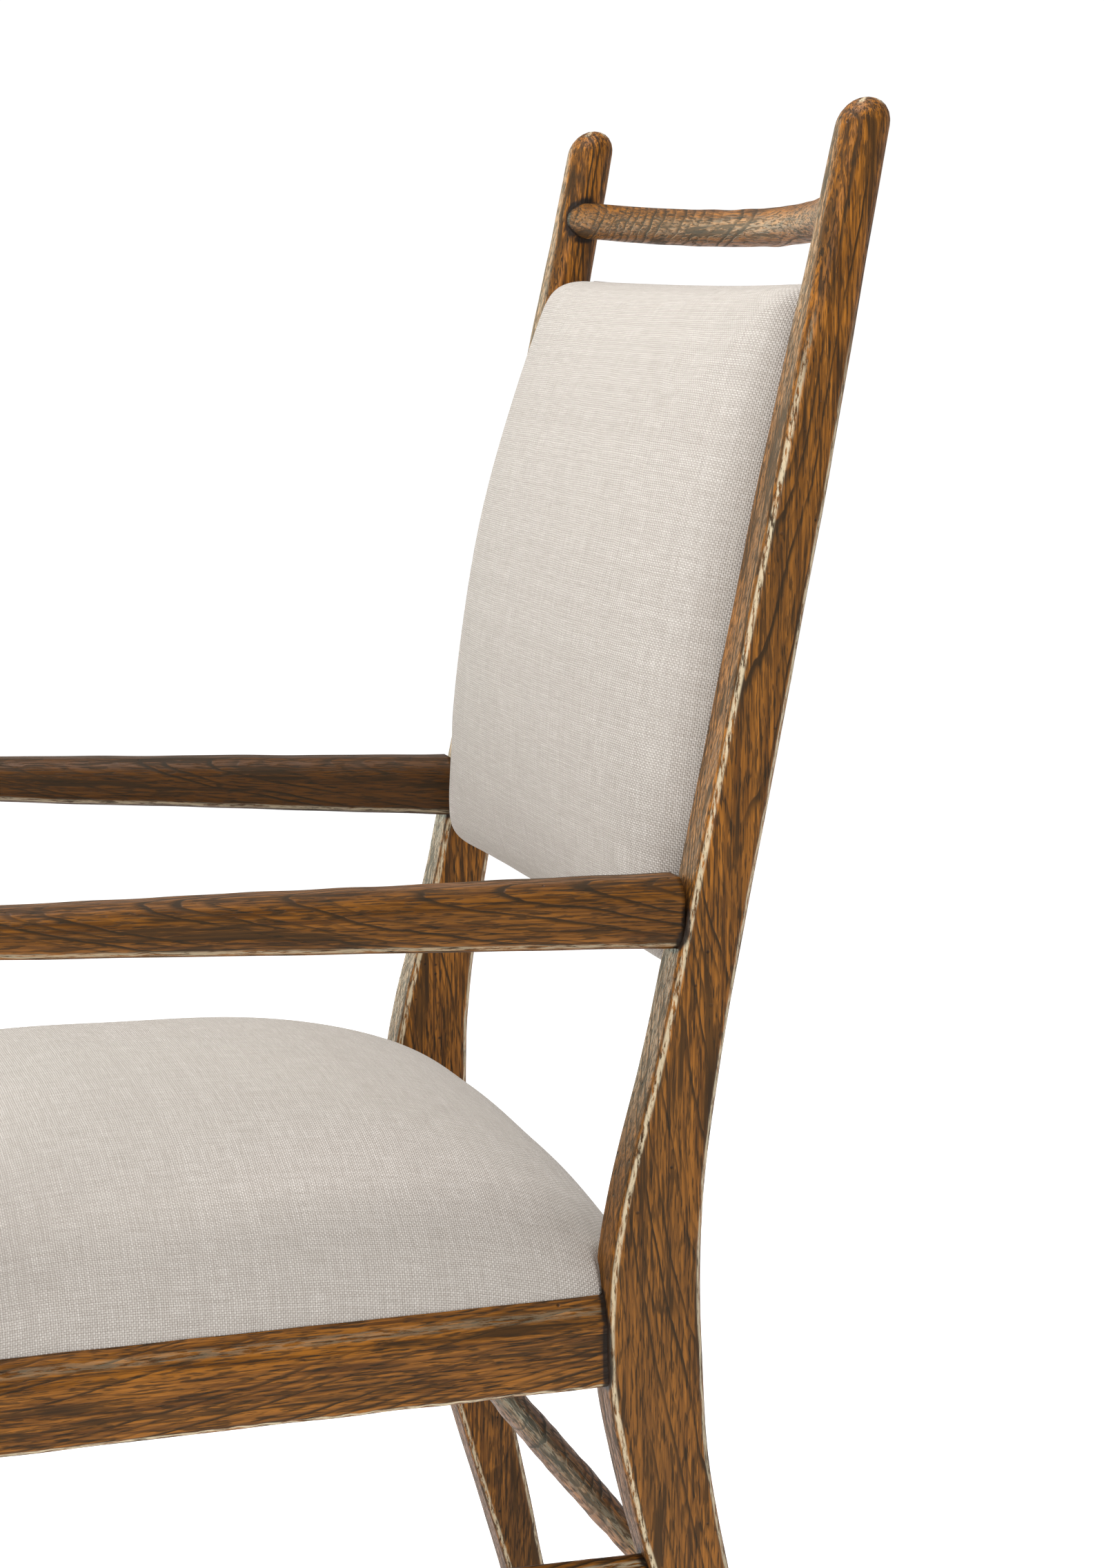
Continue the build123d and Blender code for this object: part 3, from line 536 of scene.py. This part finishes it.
def linen():
    """Plain-woven linen: threads cross over and under, with slubs and uneven colour, and painted
    shade in the hollows between the threads.
    """
    cloth = Shade("linen")
    uv = cloth.nodes.new("ShaderNodeUVMap")
    uv.uv_map = "cloth"
    drift = cloth.noise(uv.outputs[0], 40.0, 2.0, output="Color")
    drift = cloth.vector("SUBTRACT", drift, (0.5, 0.5, 0.5))
    at = cloth.vector("ADD", uv.outputs[0], cloth.vector("MULTIPLY", drift, (0.0016, 0.0016, 0.0)))
    threads = []
    for direction in ((1.0, 0.0, 0.0), (0.0, 1.0, 0.0)):
        place = cloth.calc("DIVIDE", cloth.vector("DOT_PRODUCT", at, direction), THREAD_PITCH)
        number = cloth.calc("FLOOR", place)
        crest = cloth.calc("ABSOLUTE", cloth.calc("SINE", cloth.calc("MULTIPLY", place, np.pi)))
        threads.append((number, crest, cloth.chance(number)))
    (column, warp, warp_tone), (row, weft, weft_tone) = threads
    over = cloth.calc("MODULO", cloth.calc("ABSOLUTE", cloth.calc("ADD", column, row)), 2.0)
    under = cloth.calc("SUBTRACT", 1.0, over)
    high = cloth.calc("MULTIPLY", warp, over)
    high = cloth.calc("ADD", high, cloth.calc("MULTIPLY", weft, under))
    thread_tone = cloth.calc(
        "ADD", cloth.calc("MULTIPLY", warp_tone, over), cloth.calc("MULTIPLY", weft_tone, under)
    )
    slub_u = cloth.noise(cloth.vector("MULTIPLY", at, (1.0, 0.06, 1.0)), 900.0, 2.0)
    slub_v = cloth.noise(cloth.vector("MULTIPLY", at, (0.06, 1.0, 1.0)), 900.0, 2.0)
    slub = cloth.calc("MULTIPLY", cloth.calc("ADD", slub_u, slub_v), 0.5)
    speck = cloth.noise(at, 1500.0, 2.0, 0.7)
    tone = cloth.mix(cloth.fade(slub, 0.3, 0.7), paint(191, 184, 176), paint(216, 210, 203))
    tone = cloth.mix(cloth.calc("MULTIPLY", thread_tone, 0.3), tone, paint(166, 157, 148))
    flecked = cloth.calc("MULTIPLY", over, cloth.fade(speck, 0.35, 0.6, 0.1, 0.42))
    tone = cloth.mix(flecked, tone, paint(160, 150, 141))
    # Painted shade in the hollows between the threads: the colour darkens where the threads dip
    tone = cloth.mix(cloth.fade(high, 0.0, 0.6, 0.85, 0.0), tone, paint(122, 111, 101))
    cloth.feed(cloth.surface.inputs["Base Color"], tone)
    cloth.surface.inputs["Roughness"].default_value = 0.92
    cloth.surface.inputs["Specular IOR Level"].default_value = 0.1
    cloth.surface.inputs["Sheen Weight"].default_value = 0.06
    cloth.surface.inputs["Sheen Roughness"].default_value = 0.5
    cloth.bump(cloth.calc("ADD", high, cloth.calc("MULTIPLY", slub, 0.6)), 0.0004, 0.8)
    return cloth.material


def plain_wood(name, light, dark, turn):
    """Unfinished wood for hidden pieces: faint rings and fibre in Object coordinates."""
    wood = Shade(name)
    place = wood.nodes.new("ShaderNodeTexCoord").outputs["Object"]
    long = wood.vector("MULTIPLY", place, turn)
    fibre = wood.noise(long, 320.0, 4.0, 0.6)
    rings = wood.calc("SINE", wood.calc("MULTIPLY", wood.noise(long, 26.0, 2.0), 60.0))
    tone = wood.mix(wood.fade(fibre, 0.3, 0.7), paint(*dark), paint(*light))
    tone = wood.mix(wood.fade(rings, 0.2, 1.0, 0.0, 0.35), tone, paint(*dark))
    wood.feed(wood.surface.inputs["Base Color"], tone)
    wood.surface.inputs["Roughness"].default_value = 0.7
    wood.bump(fibre, 0.0003, 0.5)
    return wood.material


def lining():
    """Thin black non-woven cloth."""
    cloth = Shade("dust_cloth")
    place = cloth.nodes.new("ShaderNodeTexCoord").outputs["Object"]
    fuzz = cloth.noise(place, 1400.0, 3.0, 0.7)
    tone = cloth.mix(fuzz, paint(18, 18, 19), paint(46, 45, 46))
    cloth.feed(cloth.surface.inputs["Base Color"], tone)
    cloth.surface.inputs["Roughness"].default_value = 0.95
    cloth.bump(fuzz, 0.0002, 0.6)
    return cloth.material


def plated_steel():
    """Zinc-plated steel with fine turning marks."""
    steel = Shade("screw_steel")
    place = steel.nodes.new("ShaderNodeTexCoord").outputs["Object"]
    marks = steel.noise(place, 2200.0, 2.0)
    tone = steel.mix(marks, paint(150, 148, 140), paint(205, 203, 196))
    steel.feed(steel.surface.inputs["Base Color"], tone)
    steel.surface.inputs["Metallic"].default_value = 1.0
    steel.surface.inputs["Roughness"].default_value = 0.35
    steel.bump(marks, 0.0001, 0.4)
    return steel.material


def nylon():
    """Moulded brown nylon with a slight grain."""
    plastic = Shade("glide_nylon")
    place = plastic.nodes.new("ShaderNodeTexCoord").outputs["Object"]
    speck = plastic.noise(place, 900.0, 3.0)
    tone = plastic.mix(speck, paint(66, 52, 40), paint(92, 74, 58))
    plastic.feed(plastic.surface.inputs["Base Color"], tone)
    plastic.surface.inputs["Roughness"].default_value = 0.5
    plastic.bump(speck, 0.0002, 0.4)
    return plastic.material


# ---------------------------------------------------------------- the wooden frame
def post_corners(heights):
    """A post's corners: soft arrises that grow to a full round under the domed top."""
    share = np.clip((heights - 0.9) / 0.184, 0, 1)
    radius = 6.5 + 8.3 * share
    return [(radius, radius, 1.0)] * 4


finishes = {
    "stained_oak": stained_oak(),
    "linen": linen(),
    "block_wood": plain_wood("block_wood", (214, 178, 128), (180, 138, 88), (0.15, 1.0, 1.0)),
    "plywood": plain_wood("plywood", (222, 190, 142), (196, 158, 106), (0.1, 1.0, 3.0)),
    "dowel_wood": plain_wood("dowel_wood", (222, 192, 150), (190, 152, 104), (0.15, 1.0, 1.0)),
    "dust_cloth": lining(),
    "screw_steel": plated_steel(),
    "glide_nylon": nylon(),
}

seed = 0
for side, hand in (("left", 1), ("right", -1)):
    post_low, post_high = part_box(f"rear_post_{side}")
    member(
        f"rear_post_{side}", Z, (post_low.z, post_high.z), 260, post_corners,
        read=(post_low.z + 0.001, 1.08), ends=(0.0, 0.0155), pith=(-0.042, 0.004), seed=1 + seed,
        sawn=True,
    )
    arm_low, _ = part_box(f"arm_{side}")
    corners = [ARM_TOP, ARM_TOP, ARM_UNDER, ARM_UNDER]
    member(
        f"arm_{side}", Y, (arm_low.y, ARM_END), 170, corners,
        read=(arm_low.y + 0.02, 0.118), ends=(0.014, 0.0), pith=(-0.032, -0.045), seed=2 + seed,
        # The far arm is set much darker than the near one: painted shade, as it stands in less
        # light
        stain_and_shade=0.55 if hand > 0 else 0.12,
    )
    leg_low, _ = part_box(f"front_leg_{side}")
    member(
        f"front_leg_{side}", Z, (leg_low.z, LEG_TOP), 170, [SOFT] * 4,
        read=(leg_low.z + 0.001, 0.645), pith=(-0.044, 0.003), seed=3 + seed,
    )
    corners = [BEVEL, CRISP, CRISP, SOFT] if hand > 0 else [CRISP, BEVEL, SOFT, CRISP]
    member(
        f"side_seat_rail_{side}", Y, SIDE_RAIL_SPAN, 150, corners,
        read=(-0.25, 0.115), pith=(-0.03, 0.05), seed=4 + seed, stain_and_shade=0.8,
    )
    rod_low, rod_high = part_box(f"side_stretcher_{side}")
    member(
        f"side_stretcher_{side}", Y, (rod_low.y, rod_high.y), 110, [ROUND] * 4,
        read=(rod_low.y + TENON, rod_high.y - TENON), pith=(-0.03, 0.02), seed=5 + seed,
    )
    seed += 10
for name, corners, reach in (
    ("front_seat_rail", [CRISP, BEVEL, SOFT, CRISP], FRONT_RAIL_REACH),
    ("rear_seat_rail", [BEVEL, CRISP, CRISP, SOFT], REAR_RAIL_REACH),
):
    member(
        name, X, (-reach, reach), 170, corners,
        read=(-0.22, 0.22), pith=(-0.05, 0.01), seed=6 + seed,
    )
    seed += 1
for name in ("front_stretcher", "rear_stretcher"):
    rod_low, rod_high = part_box(name)
    member(
        name, X, (rod_low.x, rod_high.x), 110, [ROUND] * 4,
        read=(rod_low.x + TENON, rod_high.x - TENON), pith=(-0.03, 0.02), seed=8 + seed,
    )
    seed += 1
member(
    "crest_rail", X, (-CREST_REACH, CREST_REACH), 150, [ROUND] * 4,
    read=(-0.226, 0.226), pith=(-0.03, 0.014), seed=9 + seed, sawn=True,
)

for name, made in timber.items():
    attributes = {key: made[key] for key in ("grain", "arris", "stain_and_shade")} | {"glaze_and_joint_shade": nearness(name)}
    piece = make_piece(name + "_oak", made["points"], made["faces"], attributes)
    piece.data.materials.append(finishes["stained_oak"])
    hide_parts(name)
    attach(piece, "root")


# ---------------------------------------------------------------- upholstery
def seat_form(swell):
    """The seat's crowned cover over a flat underside.

    Over its plan, U and V run from -1 to 1 across and along it. Its height is the crown
    times (1 - |U|^2.82)^0.523 times (1 - |V|^n)^0.491, lowered by the swell to come, with n
    3.6 in the fuller front half and 2.47 in the rear one. Near its foot it stands 1.2 mm out.
    Points in the corners taken up by the uprights move to the nearer side of their notch."""
    low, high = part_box("seat_cushion")
    across, along = crowded(85, 2.1), crowded(79, 2.1)
    u, v = np.meshgrid(across, along)
    middle = (low.y + high.y) / 2
    y = middle + v * (high.y - low.y) / 2
    half = high.x - np.tan(np.radians(3.41)) * (y - low.y)
    x = u * half
    fullness = np.where(v < 0, 3.6, 2.47)
    rise = (1 - np.abs(u) ** 2.82).clip(0) ** 0.523 * (1 - np.abs(v) ** fullness).clip(0) ** 0.491
    outward = 1 + SEAT_DRIFT * (1 - rise)
    z = low.z + (high.z - low.z - swell) * rise
    top = np.stack([x * outward, middle + (y - middle) * outward, z], axis=-1)
    top[..., 2] += 0.0006 * ripple(top, 0.11, 71)
    edge = (1 - np.maximum(np.abs(u), np.abs(v)) ** 6).clip(0, 1)
    under = top.copy()
    under[..., 2] = low.z + 0.003 * edge
    border = edge == 0
    top[border, 2] = low.z
    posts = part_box("rear_post_left")[0].x - 0.0008
    notches = ((True, posts, POST_NOTCH_Y), (False, LEG_NOTCH_X, LEG_NOTCH_Y))
    for form in (top, under):
        for rearward, wall_x, wall_y in notches:
            past_x = np.abs(form[..., 0]) - wall_x
            past_y = (form[..., 1] - wall_y) * (1 if rearward else -1)
            inside = (past_x > 0) & (past_y > 0)
            to_x = inside & (past_x <= past_y)
            to_y = inside & ~to_x
            form[to_x, 0] = np.sign(form[to_x, 0]) * wall_x
            form[to_y, 1] = wall_y
    return top, under


def back_form(front, swell):
    """One of the back's two covers, on the bowed plane that leans with the rear posts.

    Across and up the plane, U and V run from -1 to 1. Each cover rises from the seam round
    the back's edge by a rounding of (1 - |U|^30)^0.5 times (1 - |V|^26)^0.5. The rear one
    follows the plane's bow. The front one steps ahead of the posts, and crowns by
    (1 - |U|^2.6)^0.6 times (1 - V^2)^0.9 more."""
    low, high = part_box("back_pad_rear")
    post, _ = cad_sections("rear_post_left", Z, (0.7, 0.8, 0.9))
    bow, thick, seam, step, crown = 0.029, 0.040, 0.028, 0.009, 0.040
    foot_z = low.z + (thick + bow) * np.sin(RAKE)
    foot = post[1, 1] + 0.0015 + (foot_z - 0.8) * np.tan(RAKE)
    length = (high.z - foot_z) / np.cos(RAKE) + PAD_RISE
    half = high.x
    radius = (half**2 + bow**2) / (2 * bow)
    u, v = np.meshgrid(crowded(89, 2.3), crowded(83, 2.3))
    edge = (1 - np.abs(u) ** 30).clip(0) ** 0.5 * (1 - np.abs(v) ** 26).clip(0) ** 0.5
    x = u * (half - swell)
    up = (v + 1) / 2 * length
    arc = bow - radius + np.sqrt(radius**2 - x**2)
    flat = arc + seam
    if front:
        dome = (1 - np.abs(u) ** 2.6).clip(0) ** 0.6 * (1 - v**2).clip(0) ** 0.9
        offset = flat - edge * (flat + step - swell) - crown * dome
    else:
        offset = flat + (thick - seam - swell) * edge

    def place(out):
        y = foot + out * np.cos(RAKE) + up * np.sin(RAKE)
        z = foot_z - out * np.sin(RAKE) + up * np.cos(RAKE)
        return np.stack([x, y, z], axis=-1)

    cover, seam_side = place(offset), place(flat)
    cover[..., 1] += 0.0005 * ripple(cover, 0.1, 72 + front) * edge
    return cover, seam_side


def upholster(name, form, flip, replaced):
    """A padded piece from its form, swollen as cloth and given one subdivision."""
    swell = SWELL
    cover, plain = form(swell)
    uv = unrolled(cover)
    points, faces, kept = shut(cover, plain)
    if flip:
        faces = faces[:, ::-1]
    cells = cover.shape[0] * cover.shape[1]
    piece = make_piece(name, points, faces.tolist(), uv=np.concatenate([uv, uv])[kept])
    piece.data.materials.append(finishes["linen"])
    held = (kept >= cells) | ~inner(cover.shape[:2]).ravel()[kept % cells]
    settle(piece, held, PRESSURE, swell)
    smooth = piece.modifiers.new("Subdivision", "SUBSURF")
    smooth.levels = smooth.render_levels = 1
    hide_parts(*replaced)
    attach(piece, "root")


def inner(shape):
    """True for the points of a grid that aren't on its border."""
    mask = np.zeros(shape, dtype=bool)
    mask[1:-1, 1:-1] = True
    return mask


upholster("seat_cover", seat_form, False, ["seat_cushion"])
upholster("back_front_cover", lambda swell: back_form(True, swell), False, ["back_pad_front"])
upholster("back_rear_cover", lambda swell: back_form(False, swell), True, ["back_pad_rear"])

# ---------------------------------------------------------------- hidden pieces keep their CAD form
corners = [f"{end}_{side}" for end in ("front", "rear") for side in ("left", "right")]
joints = ["arm_rear", "arm_front", "side_rail", "front_rail", "rear_rail"]
kept_nodes = {
    "block_wood": [f"corner_block_{corner}" for corner in corners],
    "plywood": ["seat_board", "back_core"],
    "dust_cloth": ["seat_dust_cover"],
    "dowel_wood": [f"{joint}_dowels" for joint in joints],
    "screw_steel": ["back_bolts", "corner_block_screws", "seat_screws"],
    "glide_nylon": [f"foot_glide_{corner}" for corner in corners],
}
for finish, nodes in kept_nodes.items():
    for node in nodes:
        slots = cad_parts[node].data.materials
        slots.clear()
        slots.append(finishes[finish])


# ---------------------------------------------------------------- room, light and camera
def area_light(name, place, aim, size, power, colour=(1.0, 1.0, 1.0)):
    """A square soft light at a place, turned towards a point."""
    light = bpy.data.lights.new(name, "AREA")
    light.shape = "SQUARE"
    light.size = size
    light.energy = power
    light.color = colour
    lamp = bpy.data.objects.new(name, light)
    lamp.location = place
    lamp.rotation_euler = (Vector(aim) - Vector(place)).to_track_quat("-Z", "Y").to_euler()
    bpy.context.scene.collection.objects.link(lamp)
    return lamp


bpy.ops.mesh.primitive_plane_add(size=30, location=(0, 0, -0.0005))
floor = bpy.context.object
floor.name = "floor"
pale = Shade("pale_floor")
pale.surface.inputs["Base Color"].default_value = (0.93, 0.93, 0.93, 1.0)
pale.surface.inputs["Roughness"].default_value = 0.9
pale.surface.inputs["Emission Color"].default_value = (1.0, 1.0, 1.0, 1.0)
pale.surface.inputs["Emission Strength"].default_value = 0.6
floor.data.materials.append(pale.material)

world = bpy.data.worlds.new("studio")
bpy.context.scene.world = world
world.use_nodes = True
sky = world.node_tree
background = sky.nodes["Background"]
background.inputs["Color"].default_value = (1.0, 1.0, 1.0, 1.0)
background.inputs["Strength"].default_value = 0.46
seen = sky.nodes.new("ShaderNodeBackground")
seen.inputs["Color"].default_value = (1.0, 1.0, 1.0, 1.0)
seen.inputs["Strength"].default_value = 1.05
path = sky.nodes.new("ShaderNodeLightPath")
either = sky.nodes.new("ShaderNodeMixShader")
sky.links.new(path.outputs["Is Camera Ray"], either.inputs[0])
sky.links.new(background.outputs[0], either.inputs[1])
sky.links.new(seen.outputs[0], either.inputs[2])
sky.links.new(either.outputs[0], sky.nodes["World Output"].inputs["Surface"])

area_light("front_light", (1.9, -2.1, 1.5), (0, 0, 0.6), 1.6, 37)
area_light("top_light", (0.0, -0.5, 3.0), (0, 0, 0.6), 1.8, 66)
sheen = area_light("sheen_panel", (-3.6, -1.5, 1.2), (0, 0, 0.7), 2.6, 100, (0.93, 1.0, 0.78))
sheen.visible_diffuse = False

camera = bpy.data.cameras.new("camera")
camera.sensor_fit = "VERTICAL"
camera.sensor_height = CAMERA_SENSOR
camera.lens = CAMERA_LENS
viewer = bpy.data.objects.new("camera", camera)
viewer.location = CAMERA_PLACE
sight = Vector((
    -np.cos(CAMERA_TURN) * np.cos(CAMERA_DIP),
    np.sin(CAMERA_TURN) * np.cos(CAMERA_DIP),
    -np.sin(CAMERA_DIP),
))
viewer.rotation_euler = sight.to_track_quat("-Z", "Y").to_euler()
bpy.context.scene.collection.objects.link(viewer)
bpy.context.scene.camera = viewer
bpy.context.scene.view_settings.view_transform = "Standard"
